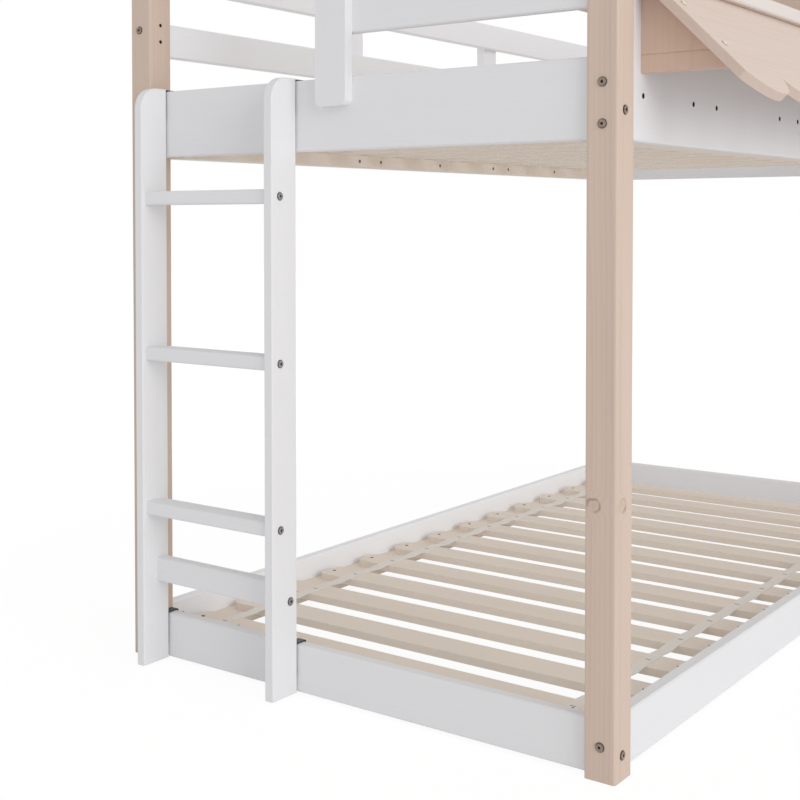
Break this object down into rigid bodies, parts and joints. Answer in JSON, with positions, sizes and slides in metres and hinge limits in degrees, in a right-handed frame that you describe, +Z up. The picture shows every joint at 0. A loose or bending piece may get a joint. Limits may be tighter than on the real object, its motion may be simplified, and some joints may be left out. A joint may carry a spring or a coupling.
{
  "type": "house bunk bed",
  "caption": "House-shaped bunk bed frame with slatted bunks, guard boards, pitched roof beams, a scalloped wooden awning and a lift-off ladder hooked over the end rails.",
  "frame": {"origin": "on the floor, under the middle of the bed's overall box", "axes": "+X from the ladder end to the far end, +Y from the awning side to the back, +Z up"},
  "size_m": [2.1424, 1.2318, 2.0955],
  "materials": {
    "washed_pine": "satin",
    "awning_pine": "satin",
    "plain_pine": "matte",
    "white_lacquer": "satin",
    "slat_tape": "matte",
    "zinc_steel": "satin",
    "dark_steel": "satin"
  },
  "bodies": {
    "bed_frame": {"awning_cheek_far": "awning_pine", "awning_cheek_ladder": "awning_pine", "awning_cheek_middle": "awning_pine", "awning_panel": "awning_pine", "awning_sill": "white_lacquer", "barrel_nuts": "zinc_steel", "eave_beam_back": "washed_pine", "eave_beam_front": "washed_pine", "frame_bolts": "zinc_steel", "guard_back_lower": "white_lacquer", "guard_back_upper": "white_lacquer", "guard_far_end_lower": "white_lacquer", "guard_far_end_upper": "white_lacquer", "guard_front_upper": "white_lacquer", "guard_ladder_end_lower": "white_lacquer", "guard_ladder_end_upper": "white_lacquer", "lower_ledger_back": "plain_pine", "lower_ledger_front": "plain_pine", "lower_rail_back": "white_lacquer", "lower_rail_far_end": "white_lacquer", "lower_rail_front": "white_lacquer", "lower_rail_ladder_end": "white_lacquer", "lower_slat_tapes": "slat_tape", "lower_slats": "plain_pine", "post_far_back": "washed_pine", "post_far_front": "washed_pine", "post_ladder_back": "washed_pine", "post_ladder_front": "washed_pine", "rafter_far_back": "washed_pine", "rafter_far_front": "washed_pine", "rafter_ladder_back": "washed_pine", "rafter_ladder_front": "washed_pine", "ridge_beam": "washed_pine", "tie_beam_far": "washed_pine", "tie_beam_ladder": "washed_pine", "upper_ledger_back": "plain_pine", "upper_ledger_front": "plain_pine", "upper_rail_back": "white_lacquer", "upper_rail_far_end": "white_lacquer", "upper_rail_front": "white_lacquer", "upper_rail_ladder_end": "white_lacquer", "upper_slat_tapes": "slat_tape", "upper_slats": "plain_pine", "upright_back_far": "white_lacquer", "upright_back_ladder": "white_lacquer", "upright_entry": "white_lacquer", "upright_front_far": "white_lacquer", "upright_front_ladder": "white_lacquer"},
    "ladder": {"ladder_bolts": "zinc_steel", "ladder_crossbar": "white_lacquer", "ladder_hooks": "dark_steel", "ladder_rung_lower": "white_lacquer", "ladder_rung_middle": "white_lacquer", "ladder_rung_upper": "white_lacquer", "ladder_stile_left": "white_lacquer", "ladder_stile_right": "white_lacquer"}
  },
  "joints": [
    {"name": "ladder_lift", "type": "slide", "parent": "bed_frame", "child": "ladder", "axis": [0, 0, 1], "range_m": [0, 0.06]}
  ]
}
